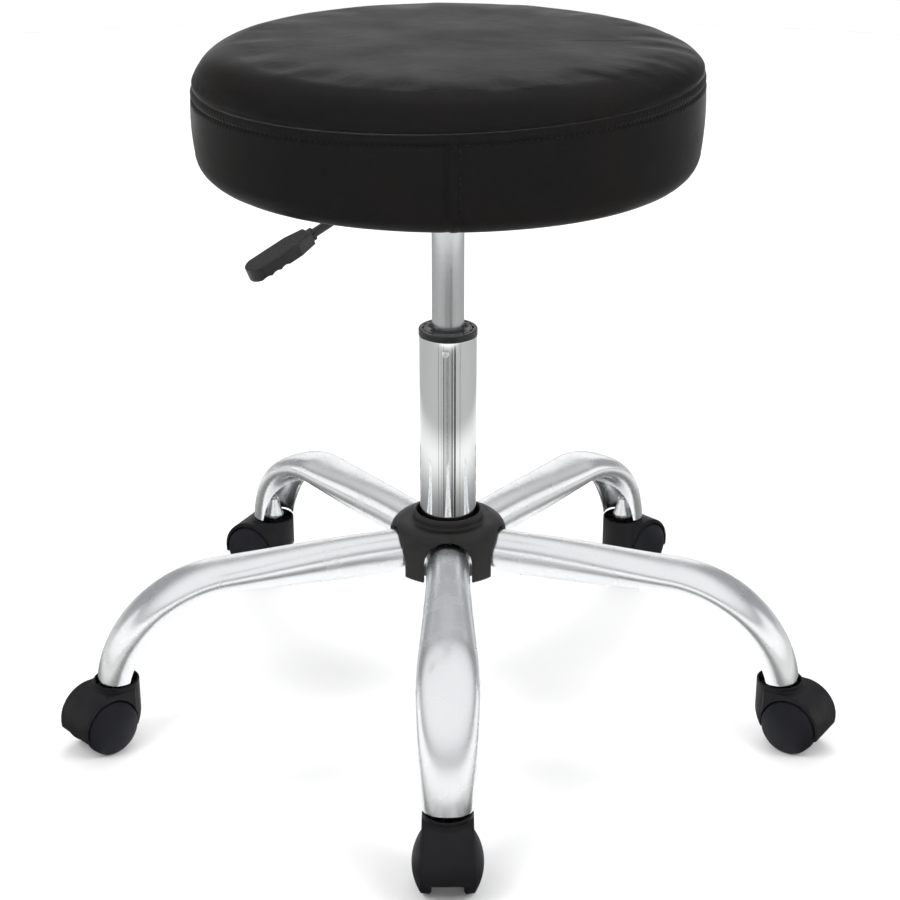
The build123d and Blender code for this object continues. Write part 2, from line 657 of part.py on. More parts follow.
# ---------------------------------------------------------------- write every piece
def base_pieces():
    leg = make_leg()
    socket = Pos(STEM_CIRCLE_RADIUS, 0, 0) * make_socket()
    stem = Pos(STEM_CIRCLE_RADIUS, 0, 0) * make_stem()
    grip_ring = Pos(STEM_CIRCLE_RADIUS, 0, 0) * make_grip_ring()
    for number, angle in enumerate(LEG_ANGLES, start=1):
        save(f"leg_{number}", turn(leg, angle))
        save(f"caster_stem_{number}", turn(stem, angle))
    save("leg_sockets", group(turn(socket, angle) for angle in LEG_ANGLES))
    save("stem_grip_rings", group(turn(grip_ring, angle) for angle in LEG_ANGLES))
    save("hub_core", make_hub_core())
    save("hub_cover", make_hub_cover())


def column_pieces():
    save("column_tube", make_column_tube())
    save("column_bushing", make_bushing())
    save("bushing_rivet", make_rivet())
    save("thrust_bearing", make_thrust_bearing())
    save("piston_rod", make_piston_rod())
    save("piston", make_piston())
    save("bump_stop", make_bump_stop())
    save("retaining_clip", make_retaining_clip())
    save("gas_cylinder", make_gas_cylinder())
    save("rod_guide", make_rod_guide())
    save("release_button", make_release_button())


def caster_pieces():
    hood = make_hood()
    axle = make_axle()
    left_wheel = make_wheel()
    right_wheel = mirror(left_wheel, Plane.XZ)
    for number in range(LEG_COUNT):
        save(f"caster_hood_{number + 1}", place_caster(hood, number))
        save(f"caster_axle_{number + 1}", place_caster(axle, number))
        save(f"left_wheel_{number + 1}", place_caster(left_wheel, number))
        save(f"right_wheel_{number + 1}", place_caster(right_wheel, number))


def seat_pieces():
    save("seat_top_cover", make_seat_top_cover())
    save("seat_side_band", make_seat_side_band())
    save("seat_foam", make_seat_foam())
    save("seat_board", make_seat_board())
    save("dust_cover", make_dust_cover())
    save("staples", make_staples())
    save("seat_plate", make_seat_plate())
    save("plate_screws", make_plate_screws())
    save("tee_nuts", make_tee_nuts())
    save("lever_pin", make_lever_pin())
    save("lever_rod", make_lever_rod())
    save("lever_paddle", make_lever_paddle())


def main():
    os.makedirs("parts", exist_ok=True)
    base_pieces()
    column_pieces()
    caster_pieces()
    seat_pieces()


main()
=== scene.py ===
"""Looks of the rolling stylist stool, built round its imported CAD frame. Metres, +Z up.

The chrome legs, the moulded covers, the wheels and the upholstery are rebuilt here as finished
meshes in the places of their CAD solids; every other CAD piece keeps its shape and gets a material.
"""

import math
import random

import bmesh
import bpy
import numpy as np
from mathutils import Matrix, Vector
from mathutils.bvhtree import BVHTree
from mathutils.kdtree import KDTree


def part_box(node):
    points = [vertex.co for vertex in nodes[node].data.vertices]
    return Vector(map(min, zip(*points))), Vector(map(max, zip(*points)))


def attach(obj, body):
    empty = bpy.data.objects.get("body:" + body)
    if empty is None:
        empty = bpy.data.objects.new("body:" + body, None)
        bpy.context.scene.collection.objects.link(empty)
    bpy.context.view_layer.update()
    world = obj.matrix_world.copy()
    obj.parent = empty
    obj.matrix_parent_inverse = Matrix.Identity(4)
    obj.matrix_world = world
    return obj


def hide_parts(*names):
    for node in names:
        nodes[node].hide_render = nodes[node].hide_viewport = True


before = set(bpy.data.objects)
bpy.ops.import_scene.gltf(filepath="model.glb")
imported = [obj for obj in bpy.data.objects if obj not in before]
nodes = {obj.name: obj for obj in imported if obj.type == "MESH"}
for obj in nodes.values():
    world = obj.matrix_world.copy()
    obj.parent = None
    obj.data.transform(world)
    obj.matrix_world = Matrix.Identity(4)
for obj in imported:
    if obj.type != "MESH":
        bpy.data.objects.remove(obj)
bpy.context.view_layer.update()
scene = bpy.context.scene

TAU = 2 * math.pi

# ---------------------------------------------------------------- places and sizes, in metres
LEG_COUNT = 5
LEG_ANGLES = [math.radians(270 + 360 / LEG_COUNT * i) for i in range(LEG_COUNT)]
CASTER_HEADINGS = [math.radians(a) for a in (270, 327, 44, 154, 222)]
STEM_CIRCLE = 0.305
TRAIL = 0.0185
WHEEL_RADIUS = 0.025

# Leg: run along its centre line, then width and height of the tube there.
LEG_AXIS_Z = 0.1454
LEG_BEND_START = 0.206
LEG_BEND_RADIUS = 0.100
LEG_WALL = 0.0021
LEG_END_Z = 0.0625
LEG_SECTIONS = (
    (0.024, 0.0380, 0.0380),
    (0.060, 0.0380, 0.0375),
    (0.088, 0.0387, 0.0370),
    (0.120, 0.0410, 0.0350),
    (0.150, 0.0433, 0.0320),
    (0.180, 0.0460, 0.0285),
    (0.206, 0.0482, 0.0260),
    (0.2304, 0.0503, 0.0246),
    (0.2549, 0.0516, 0.0244),
    (0.2793, 0.0501, 0.0260),
    (0.3037, 0.0473, 0.0286),
    (0.3247, 0.0440, 0.0306),
    (0.3526, 0.0406, 0.0320),
)
LEG_OPENING_START = 0.272
LEG_OPENING_END = 0.345
LEG_OPENING_HALF = math.radians(60)
HUB_CORE_RADIUS = 0.03105
HUB_ROWS = 6  # rings of the leg that are drawn back onto the hub's steel core

# Seat: the rest shape of the upholstery.
SEAT_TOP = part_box("seat_top_cover")[1].z
SEAT_FLAT_RADIUS = 0.173
SEAT_SEAM_RADIUS = 0.2092
SEAT_SEAM_Z = 0.5724
SEAT_SEAM_TILT = 0.029
SEAT_BULGE = 0.0018
SEAT_LOWER_Z = 0.515
SEAT_UNDER_RADIUS = 0.189
SEAT_UNDER_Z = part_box("seat_side_band")[0].z
SEAT_HEM_RADIUS = 0.166
TOPSTITCH_DROP = 0.0088
STITCH_PITCH = 0.0048
CLOSING_SEAM_ANGLE = math.radians(270)
CLOSING_STITCH_OFFSET = 0.0092

# Black plastics: the base colour and that of the rubbed patches.
HUB_BLACK = ((0.0085, 0.0080, 0.0078), (0.0120, 0.0108, 0.0100))
WHEEL_BLACK = ((0.0080, 0.0082, 0.0110), (0.0100, 0.0100, 0.0130))
HOOD_BLACK = ((0.0072, 0.0072, 0.0085), (0.0095, 0.0093, 0.0100))
GLOSS_BLACK = ((0.0080, 0.0080, 0.0080), (0.0105, 0.0100, 0.0098))


# ---------------------------------------------------------------- camera, floor and light
def make_camera():
    """Camera of a catalogue picture: in front, looking down a little, long lens."""
    data = bpy.data.cameras.new("camera")
    data.lens = 81.92
    data.sensor_width = 36
    data.clip_end = 50
    camera = bpy.data.objects.new("camera", data)
    camera.location = (0.0017, -1.669, 0.9351)
    camera.rotation_euler = (math.radians(67.28), 0, 0)
    scene.collection.objects.link(camera)
    scene.camera = camera


def area_light(name, place, aim, size, power):
    data = bpy.data.lights.new(name, "AREA")
    data.shape = "RECTANGLE"
    data.size, data.size_y = size
    data.energy = power
    light = bpy.data.objects.new(name, data)
    light.location = place
    direction = Vector(aim) - Vector(place)
    light.rotation_euler = direction.to_track_quat("-Z", "Y").to_euler()
    light.visible_glossy = False
    scene.collection.objects.link(light)


def make_world():
    """Studio room: grey walls above the white drum round the stage, and a large bright ceiling."""
    world = bpy.data.worlds.new("studio")
    scene.world = world
    world.use_nodes = True
    tree = world.node_tree
    coord = tree.nodes.new("ShaderNodeTexCoord")
    split = tree.nodes.new("ShaderNodeSeparateXYZ")
    ramp = tree.nodes.new("ShaderNodeValToRGB")
    ramp.color_ramp.interpolation = "EASE"
    stops = [(0.0, 0.10), (0.30, 0.12), (0.44, 0.20), (0.56, 0.50), (0.68, 0.85), (0.82, 1.0), (1.0, 1.0)]
    elements = ramp.color_ramp.elements
    while len(elements) < len(stops):
        elements.new(0.5)
    for element, (place, value) in zip(elements, stops):
        element.position = place
        element.color = (value, value, value * 1.01, 1)
    tree.links.new(coord.outputs["Generated"], split.inputs[0])
    tree.links.new(split.outputs["Z"], ramp.inputs[0])
    shade = tree.nodes["Background"]
    tree.links.new(ramp.outputs[0], shade.inputs["Color"])
    shade.inputs["Strength"].default_value = 0.95


def card_grey(name, shade):
    """Matt grey for the chrome to mirror, with painted light: lighter in a ring where the seat's shadow
    falls, darker further in and out.
    """
    made = Finish(name, (shade, shade, shade), 0.9, Specular_IOR_Level=0.0)
    length = made.tree.nodes.new("ShaderNodeVectorMath")
    length.operation = "LENGTH"
    made.link(made.coord, length.inputs[0])
    ramp = made.tree.nodes.new("ShaderNodeValToRGB")
    ramp.color_ramp.interpolation = "EASE"
    elements = ramp.color_ramp.elements
    elements.new(0.5)
    # Painted light: the shade is raised where the seat's shadow falls on the card and lowered inside and
    # outside that ring.
    for element, (radius, painted_light_share) in zip(elements, ((0.38, 0.25), (0.66, 1.0), (0.92, 0.50))):
        element.position = radius
        element.color = (shade * painted_light_share, shade * painted_light_share, shade * painted_light_share * 0.98, 1)
    made.link(length.outputs["Value"], ramp.inputs[0])
    made.link(ramp.outputs[0], made.shader.inputs["Base Color"])
    return made.material


def mirror_card(name, points, faces, material):
    """Card that shows only in reflections."""
    card = mesh_object(name, points, faces, smooth=False)
    card.data.materials.append(material)
    card.visible_camera = False
    card.visible_diffuse = False
    card.visible_shadow = False


def make_mirror_cards():
    """Painted reflections for the chrome: a grey mat and dark strips on the floor, and grey cards standing
    for walls at the back left and right, all shown only in reflections.
    """
    cards = [("mat", 0.0, TAU, 0.33, 2.2, 0.66, 96)]
    # Dark strips: painted dark reflection streaks on the chrome tube.
    painted_streaks = [(253, 4, 0.18), (259, 9, 0.50), (266, 2.5, 0.05)]
    painted_streaks += [(271, 4, 0.32), (278, 6, 0.45), (286, 7, 0.20), (297, 6.5, 0.05), (232, 2, 0.25)]
    painted_streaks += [(318, 2, 0.25), (244, 1.5, 0.35)]
    for number, (middle, wide, shade) in enumerate(painted_streaks):
        half = math.radians(wide) / 2
        cards.append((f"strip_{number}", math.radians(middle) - half, 2 * half, 0.30, 2.2, shade, 6))
    for level, (name, start, sweep, near, far, shade, steps) in enumerate(cards):
        z = 0.0002 + 0.0001 * level
        points, faces = [], []
        for k in range(steps + 1):
            a = start + sweep * k / steps
            points += [(near * math.cos(a), near * math.sin(a), z), (far * math.cos(a), far * math.sin(a), z)]
        for k in range(steps):
            faces.append((2 * k, 2 * k + 1, 2 * k + 3, 2 * k + 2))
        mirror_card(name, points, faces, card_grey(f"{name}_grey", shade))
    # Grey cards in place of walls, seen only in reflections: a painted grey reflection on the ends of the
    # side legs.
    reflection_grey = plain_material("painted_reflection_grey", (0.27, 0.27, 0.28), 0.9)
    for name, start in (("wall_right", 28), ("wall_left", 112)):
        angles = [math.radians(start + 5 * k) for k in range(9)]
        points = [(3.1 * math.cos(a), 3.1 * math.sin(a), z) for a in angles for z in (0.05, 1.58)]
        faces = [(2 * k, 2 * k + 2, 2 * k + 3, 2 * k + 1) for k in range(8)]
        mirror_card(name, points, faces, reflection_grey)


def make_stage():
    floor = mesh_object(
        "floor",
        [(-8, -8, -0.0003), (8, -8, -0.0003), (8, 8, -0.0003), (-8, 8, -0.0003)],
        [(0, 1, 2, 3)],
        smooth=False,
    )
    floor.data.materials.append(plain_material("floor_white", (0.90, 0.90, 0.90), 0.8))
    drum = lathe("drum", [(3.2, 0.0), (3.2, 1.60)], 96)
    drum.data.materials.append(plain_material("drum_white", (0.90, 0.90, 0.90), 0.8))
    make_mirror_cards()
    area_light("key", (-1.9, -1.5, 2.6), (0, 0, 0.3), (1.7, 1.7), 48)
    area_light("fill", (2.1, -1.1, 2.2), (0, 0, 0.3), (1.4, 1.8), 36)
    area_light("back", (0.2, 2.0, 2.7), (0, 0, 0.4), (2.2, 1.0), 42)
    scene.view_settings.view_transform = "Standard"
    scene.cycles.use_denoising = True


# ---------------------------------------------------------------- mesh helpers
def mesh_object(name, points, faces, smooth=True):
    mesh = bpy.data.meshes.new(name)
    mesh.from_pydata([tuple(p) for p in points], [], faces)
    mesh.validate()
    if smooth:
        mesh.shade_smooth()
    piece = bpy.data.objects.new(name, mesh)
    scene.collection.objects.link(piece)
    return piece


def lathe(name, profile, segments, axis="Z"):
    """Solid of revolution of (radius, height) points; points with radius 0 become a pole."""
    points, faces, rows = [], [], []
    for radius, height in profile:
        if radius < 1e-7:
            rows.append([len(points)] * segments)
            points.append((0, 0, height))
            continue
        start = len(points)
        rows.append([start + i for i in range(segments)])
        for i in range(segments):
            a = TAU * i / segments
            points.append((radius * math.cos(a), radius * math.sin(a), height))
    for low, high in zip(rows, rows[1:]):
        for i in range(segments):
            j = (i + 1) % segments
            corner = [low[i], low[j], high[j], high[i]]
            corner = [c for k, c in enumerate(corner) if c != corner[k - 1]]
            if len(corner) > 2:
                faces.append(corner)
    if axis == "Y":
        points = [(x, z, -y) for x, y, z in points]
    return mesh_object(name, points, faces)


def rounded(profile, radius, steps=4):
    """The open profile with its inner corners rounded off, each with at most that radius."""
    out = [profile[0]]
    for before, here, after in zip(profile, profile[1:], profile[2:]):
        b, h, a = (np.array(p, float) for p in (before, here, after))
        cut = min(radius, 0.45 * np.linalg.norm(h - b), 0.45 * np.linalg.norm(a - h))
        start = h + (b - h) / np.linalg.norm(b - h) * cut
        end = h + (a - h) / np.linalg.norm(a - h) * cut
        for k in range(steps + 1):
            t = k / steps
            p = (1 - t) ** 2 * start + 2 * t * (1 - t) * h + t**2 * end
            out.append((float(p[0]), float(p[1])))
    out.append(profile[-1])
    return out


def sharpen(piece, angle):
    """Smooth shading, broken where faces meet more sharply than the angle."""
    piece.data.shade_smooth()
    piece.data.set_sharp_from_angle(angle=math.radians(angle))


def add_modifier(piece, kind, **settings):
    modifier = piece.modifiers.new(kind.lower(), kind)
    for key, value in settings.items():
        setattr(modifier, key, value)
    return modifier


def bake_modifiers(piece):
    """Applies the modifiers by taking the evaluated mesh."""
    bpy.context.view_layer.update()
    graph = bpy.context.evaluated_depsgraph_get()
    made = bpy.data.meshes.new_from_object(piece.evaluated_get(graph), depsgraph=graph)
    old = piece.data
    piece.modifiers.clear()
    piece.data = made
    made.name = old.name
    return piece


def cad_copy(name, node, matrix=None):
    """A new piece with the CAD node's own shape, moved by the matrix."""
    mesh = nodes[node].data.copy()
    if matrix is not None:
        mesh.transform(matrix)
    mesh.materials.clear()
    piece = bpy.data.objects.new(name, mesh)
    scene.collection.objects.link(piece)
    return piece


def soften(piece, voxel, passes):
    """Rounds a moulding's edges: remeshed finely, then smoothed."""
    add_modifier(piece, "WELD", merge_threshold=2e-6)
    add_modifier(piece, "REMESH", mode="VOXEL", voxel_size=voxel, use_smooth_shade=True)
    add_modifier(piece, "SMOOTH", iterations=passes, factor=0.5)
    bake_modifiers(piece)
    piece.data.shade_smooth()
    return piece


def finish_piece(piece, body, replaced, slot, *materials):
    piece.data.materials.clear()
    for material in materials:
        piece.data.materials.append(material)
    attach(piece, body)
    if replaced:
        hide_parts(*([replaced] if isinstance(replaced, str) else replaced))
    return piece


def smooth_table(table, x):
    """Smooth value of each column of the table at x, through all its points."""
    xs = np.array([row[0] for row in table])
    ys = np.array([row[1:] for row in table])
    slopes = np.gradient(ys, xs, axis=0)
    i = int(np.clip(np.searchsorted(xs, x) - 1, 0, len(xs) - 2))
    step = xs[i + 1] - xs[i]
    t = (x - xs[i]) / step
    h00 = (1 + 2 * t) * (1 - t) ** 2
    h10 = t * (1 - t) ** 2
    h01 = t * t * (3 - 2 * t)
    h11 = t * t * (t - 1)
    return h00 * ys[i] + h10 * step * slopes[i] + h01 * ys[i + 1] + h11 * step * slopes[i + 1]


# ---------------------------------------------------------------- materials
def plain_material(name, colour, roughness, metallic=0.0):
    material = bpy.data.materials.new(name)
    material.use_nodes = True
    shader = material.node_tree.nodes["Principled BSDF"]
    shader.inputs["Base Color"].default_value = (*colour, 1)
    shader.inputs["Roughness"].default_value = roughness
    shader.inputs["Metallic"].default_value = metallic
    return material


class Finish:
    """Builds one procedural material, layer by layer, on object coordinates."""

    def __init__(self, name, colour, roughness, metallic=0.0, **sockets):
        self.material = plain_material(name, colour, roughness, metallic)
        self.tree = self.material.node_tree
        self.shader = self.tree.nodes["Principled BSDF"]
        for socket, value in sockets.items():
            self.shader.inputs[socket.replace("_", " ")].default_value = value
        self.colour = colour
        self.roughness = roughness
        self.normal = None
        self.coord = self.tree.nodes.new("ShaderNodeTexCoord").outputs["Object"]

    def link(self, source, target):
        self.tree.links.new(source, target)

    def mapped(self, stretch):
        node = self.tree.nodes.new("ShaderNodeMapping")
        node.inputs["Scale"].default_value = stretch
        self.link(self.coord, node.inputs["Vector"])
        return node.outputs["Vector"]

    def noise(self, scale, detail=3.0, rough=0.5, stretch=(1, 1, 1)):
        node = self.tree.nodes.new("ShaderNodeTexNoise")
        node.inputs["Scale"].default_value = scale
        node.inputs["Detail"].default_value = detail
        node.inputs["Roughness"].default_value = rough
        self.link(self.mapped(stretch), node.inputs["Vector"])
        return node.outputs["Fac"]

    def cells(self, scale, feature="F1"):
        node = self.tree.nodes.new("ShaderNodeTexVoronoi")
        node.feature = feature
        node.inputs["Scale"].default_value = scale
        self.link(self.coord, node.inputs["Vector"])
        return node.outputs["Distance"]

    def ranged(self, value, low, high, to_low, to_high):
        node = self.tree.nodes.new("ShaderNodeMapRange")
        node.inputs["From Min"].default_value = low
        node.inputs["From Max"].default_value = high
        node.inputs["To Min"].default_value = to_low
        node.inputs["To Max"].default_value = to_high
        self.link(value, node.inputs["Value"])
        return node.outputs["Result"]

    def rough(self, value, spread, low=0.3, high=0.7):
        """Roughness that varies with a pattern, by that much either way."""
        top = self.roughness + spread
        self.link(
            self.ranged(value, low, high, self.roughness - spread, top), self.shader.inputs["Roughness"]
        )
        return self

    def tint(self, value, other, low=0.3, high=0.7):
        """Colour that runs from the base colour to another with a pattern."""
        ramp = self.tree.nodes.new("ShaderNodeValToRGB")
        ramp.color_ramp.elements[0].position = low
        ramp.color_ramp.elements[1].position = high
        ramp.color_ramp.elements[0].color = (*self.colour, 1)
        ramp.color_ramp.elements[1].color = (*other, 1)
        self.link(value, ramp.inputs[0])
        self.link(ramp.outputs[0], self.shader.inputs["Base Color"])
        return self

    def bump(self, value, height):
        """Adds relief of that height in metres."""
        node = self.tree.nodes.new("ShaderNodeBump")
        node.inputs["Distance"].default_value = height
        self.link(value, node.inputs["Height"])
        if self.normal is not None:
            self.link(self.normal, node.inputs["Normal"])
        self.normal = node.outputs["Normal"]
        self.link(self.normal, self.shader.inputs["Normal"])
        return self


def chrome_finish(name, roughness, waviness):
    """Polished chrome plate with the faint waves of formed tube and a little haze."""
    made = Finish(name, (0.89, 0.905, 0.915), roughness, 1.0)
    made.rough(made.noise(38, 2, 0.5), roughness * 0.1)
    made.tint(made.noise(9, 2), (0.86, 0.875, 0.885))
    made.bump(made.noise(26, 2, 0.4), waviness)
    return made.material


def satin_steel_finish():
    """Ground steel of the gas cylinder: fine rings round it."""
    made = Finish("satin_steel", (0.66, 0.68, 0.69), 0.22, 1.0, Anisotropic=0.5)
    rings = made.noise(55, 6, 0.75, stretch=(0.6, 0.6, 60))
    made.rough(rings, 0.05)
    made.bump(rings, 0.00001)
    return made.material


def zinc_finish():
    made = Finish("zinc_plate", (0.52, 0.52, 0.50), 0.32, 1.0)
    patches = made.noise(180, 5, 0.65)
    made.rough(patches, 0.09)
    made.tint(patches, (0.44, 0.45, 0.46))
    made.bump(made.noise(900, 3), 0.00001)
    return made.material


def plastic_finish(name, colours, roughness, grain, gloss):
    """Moulded plastic with spark-eroded texture and faint rubbed patches of the second colour."""
    made = Finish(name, colours[0], roughness, Specular_IOR_Level=gloss)
    made.rough(made.noise(60, 4, 0.6), 0.06)
    made.tint(made.noise(24, 3, 0.6), colours[1])
    made.bump(made.noise(2600, 3, 0.7), grain)
    made.bump(made.noise(420, 2, 0.5), grain * 1.5)
    return made.material


def painted_finish():
    """Black powder coat with orange peel."""
    made = Finish("powder_coat", (0.018, 0.018, 0.019), 0.34)
    made.rough(made.noise(70, 3), 0.05)
    made.bump(made.noise(700, 2, 0.5), 0.00003)
    return made.material


def vinyl_finish():
    """Black upholstery vinyl: pebbled grain, faint creases and uneven gloss."""
    made = Finish("black_vinyl", (0.0080, 0.0080, 0.0087), 0.33, Specular_IOR_Level=0.026)
    made.rough(made.noise(14, 5, 0.6), 0.05)
    made.tint(made.noise(7, 3), (0.0105, 0.0095, 0.0088))
    pebbles = made.cells(900, "SMOOTH_F1")
    made.bump(pebbles, 0.00007)
    made.bump(made.noise(2300, 3, 0.6), 0.00002)
    creases = made.noise(95, 4, 0.65, stretch=(1, 1, 3.2))
    made.bump(creases, 0.00016)
    return made.material


def thread_finish():
    made = Finish("black_thread", (0.0060, 0.0060, 0.0066), 0.6, Specular_IOR_Level=0.08)
    made.bump(made.noise(5200, 2), 0.00006)
    return made.material


def rubber_finish():
    made = Finish("rubber", (0.015, 0.015, 0.015), 0.75)
    made.bump(made.noise(1500, 3), 0.00004)
    return made.material


def foam_finish():
    made = Finish("foam", (0.72, 0.66, 0.48), 0.95)
    made.tint(made.noise(60, 4), (0.62, 0.56, 0.40))
    made.bump(made.cells(900), 0.0005)
    return made.material


def plywood_finish():
    """Birch ply: long grain on the faces, thin plies on the edge."""
    made = Finish("plywood", (0.58, 0.43, 0.27), 0.62)
    grain = made.noise(22, 6, 0.65, stretch=(1, 14, 40))
    made.tint(grain, (0.43, 0.30, 0.17))
    made.bump(grain, 0.00012)
    return made.material


def cloth_finish():
    """Black non-woven dust cloth with its pressed dot pattern."""
    made = Finish("dust_cloth", (0.020, 0.020, 0.021), 0.88)
    made.tint(made.noise(300, 4), (0.032, 0.032, 0.033))
    made.bump(made.cells(700), 0.00018)
    made.bump(made.noise(1600, 3), 0.00008)
    return made.material


# ---------------------------------------------------------------- legs
def leg_ring(run):
    """Centre, downhill direction and inward direction of the leg's centre line at a run."""
    if run <= LEG_BEND_START:
        return Vector((run, 0, LEG_AXIS_Z)), Vector((0, 0, -1))
    a = (run - LEG_BEND_START) / LEG_BEND_RADIUS
    centre_z = LEG_AXIS_Z - LEG_BEND_RADIUS
    inward = Vector((-math.sin(a), 0, -math.cos(a)))
    centre = Vector((LEG_BEND_START, 0, centre_z)) - inward * LEG_BEND_RADIUS
    return centre, inward


def opening_half(run):
    """Half angle of the slot that is cut in the bend's inner side."""
    t = (run - LEG_OPENING_START) / (LEG_OPENING_END - LEG_OPENING_START)
    return LEG_OPENING_HALF * math.sqrt(min(max(t, 0), 1))


def make_leg_mesh():
    """Formed tube: round at the hub, flattened over the bend and open below its end."""
    around, roundness = 88, 2 / 2.25
    runs = list(np.linspace(0.0312, LEG_OPENING_START, 84))
    runs += [LEG_OPENING_START + 0.073 * (k / 56) ** 1.5 for k in range(1, 57)]
    runs += list(np.linspace(0.3465, 0.352, 5))
    points, faces, rows = [], [], []
    for number, run in enumerate(runs):
        width, height = smooth_table(LEG_SECTIONS, run)
        centre, inward = leg_ring(run)
        gap = opening_half(run)
        row = []
        for j in range(around + 1):
            a = gap + (TAU - 2 * gap) * j / around
            across = math.copysign(abs(math.sin(a)) ** roundness, math.sin(a)) * width / 2
            depth = math.copysign(abs(math.cos(a)) ** roundness, math.cos(a)) * height / 2
            row.append(len(points))
            point = centre + inward * depth + Vector((0, across, 0))
            if number < HUB_ROWS:
                start = max(math.sqrt(HUB_CORE_RADIUS**2 - across**2), abs(across) / math.tan(math.pi / 5))
                point.x = start + (runs[HUB_ROWS] - start) * number / HUB_ROWS
            points.append(point)
        rows.append(row)
    for low, high in zip(rows, rows[1:]):
        for j in range(around):
            faces.append((low[j], low[j + 1], high[j + 1], high[j]))
    leg = mesh_object("leg_shape", points, faces)
    work = bmesh.new()
    work.from_mesh(leg.data)
    bmesh.ops.remove_doubles(work, verts=work.verts, dist=2e-6)
    bmesh.ops.bisect_plane(
        work,
        geom=work.verts[:] + work.edges[:] + work.faces[:],
        plane_co=(0, 0, LEG_END_Z),
        plane_no=(0, 0, -1),
        clear_outer=True,
    )
    work.to_mesh(leg.data)
    work.free()
    add_modifier(leg, "SOLIDIFY", thickness=LEG_WALL, offset=-1, use_even_offset=True)
    add_modifier(leg, "BEVEL", width=0.0005, segments=2, limit_method="ANGLE", angle_limit=math.radians(50))
    bake_modifiers(leg)
    sharpen(leg, 40)
    return leg


def placed_copies(shape, matrices, names):
    """One object for each matrix, each with its own copy of the shape, which is used up."""
    made = []
    for name, matrix in zip(names, matrices):
        copy = bpy.data.objects.new(name, shape.data.copy())
        scene.collection.objects.link(copy)
        copy.matrix_world = matrix
        made.append(copy)
    bpy.data.objects.remove(shape)
    return made


def leg_matrices():
    return [Matrix.Rotation(a, 4, "Z") for a in LEG_ANGLES]


def caster_matrices():
    """From the caster's own frame, trailing along +X, to each leg's end."""
    return [
        Matrix.Translation((STEM_CIRCLE * math.cos(a), STEM_CIRCLE * math.sin(a), 0))
        @ Matrix.Rotation(h, 4, "Z")
        for a, h in zip(LEG_ANGLES, CASTER_HEADINGS)
    ]


def make_legs(chrome):
    names = [f"chrome_leg_{n}" for n in range(1, LEG_COUNT + 1)]
    for n, leg in enumerate(placed_copies(make_leg_mesh(), leg_matrices(), names), 1):
        finish_piece(leg, "root", f"leg_{n}", "chrome", chrome)


def make_stems(steel, chrome):
    """Domed caster stems in their cone sockets."""
    stem_profile = [(0, 0.0345), (0.0045, 0.0345), (0.0055, 0.0355), (0.0055, 0.0719), (0.0040, 0.0719)]
    stem_profile += [(0.0040, 0.0745), (0.0033, 0.0747), (0.0033, 0.0773), (0.0040, 0.0775)]
    stem_profile += [(0.0040, 0.0815)]
    stem_profile += [
        (0.0040 * math.cos(a), 0.0815 + 0.0031 * math.sin(a)) for a in np.linspace(0.2, TAU / 4, 9)
    ]
    stem_profile[-1] = (0, 0.0846)
    socket_profile = [(0.00555, 0.072), (0.00555, 0.0610), (0.0102, 0.0610), (0.0102, 0.0628)]
    socket_profile += [(0.0094, 0.0634), (0.0056, 0.0790), (0.0052, 0.0800), (0.00405, 0.0800)]
    socket_profile += [(0.00405, 0.0720), (0.00555, 0.072)]
    offset = Matrix.Translation((STEM_CIRCLE, 0, 0))
    matrices = [m @ offset for m in leg_matrices()]
    stem = lathe("stem_shape", rounded(stem_profile, 0.0004, 2), 40)
    sharpen(stem, 45)
    names = [f"steel_stem_{n}" for n in range(1, LEG_COUNT + 1)]
    for n, piece in enumerate(placed_copies(stem, matrices, names), 1):
        finish_piece(piece, "root", f"caster_stem_{n}", "steel_parts", steel)
    cone = lathe("socket_shape", rounded(socket_profile, 0.0005, 3), 48)
    sharpen(cone, 45)
    names = [f"socket_cone_{n}" for n in range(1, LEG_COUNT + 1)]
    cones = placed_copies(cone, matrices, names)
    for piece in cones:
        finish_piece(piece, "root", None, "chrome", chrome)


# ---------------------------------------------------------------- moulded parts
def make_hub_cover(plastic):
    cover = soften(cad_copy("moulded_hub_cover", "hub_cover"), 0.0009, 7)
    finish_piece(cover, "root", "hub_cover", "black_plastic", plastic)


def make_hoods(plastic):
    home = caster_matrices()[0].inverted()
    hood = soften(cad_copy("hood_shape", "caster_hood_1", home), 0.00062, 4)
    names = [f"moulded_hood_{n}" for n in range(1, LEG_COUNT + 1)]
    for n, piece in enumerate(placed_copies(hood, caster_matrices(), names), 1):
        finish_piece(piece, f"caster_{n}", f"caster_hood_{n}", "black_plastic", plastic)


def wheel_profile():
    """(radius, distance from the caster's middle) of a wheel's skin, from its bore to its dome."""
    inner, outer, shoulder = 0.01275, 0.0283, 0.0210
    profile = [(0, 0.023), (0.00305, 0.023), (0.00305, inner), (0.0080, inner), (0.0080, 0.018)]
    profile += [(0.0205, 0.018), (0.0205, inner), (0.0236, inner), (0.0250, inner + 0.0014)]
    profile += [(0.0250, shoulder - 0.0012)]
    profile = rounded(profile, 0.0006, 3)[:-1]
    rise = outer - shoulder
    rim = WHEEL_RADIUS - 0.0008
    dome_radius = (rim**2 + rise**2) / (2 * rise)
    for k in range(25):
        radius = rim * (1 - k / 24)
        height = outer - dome_radius + math.sqrt(dome_radius**2 - radius**2)
        profile.append((radius, height))
    return profile


def make_wheels(nylon):
    left = lathe("wheel_shape", wheel_profile(), 112, axis="Y")
    sharpen(left, 50)
    to_axle = Matrix.Translation((TRAIL, 0, WHEEL_RADIUS))
    right_hand = Matrix.Rotation(math.pi, 4, "X")
    for side, own in (("left", Matrix.Identity(4)), ("right", right_hand)):
        shape = bpy.data.objects.new("shape", left.data.copy())
        matrices = [m @ to_axle @ own for m in caster_matrices()]
        names = [f"{side}_disc_{n}" for n in range(1, LEG_COUNT + 1)]
        for n, piece in enumerate(placed_copies(shape, matrices, names), 1):
            finish_piece(piece, f"{side}_wheel_{n}", f"{side}_wheel_{n}", "wheel_nylon", nylon)
    bpy.data.objects.remove(left)


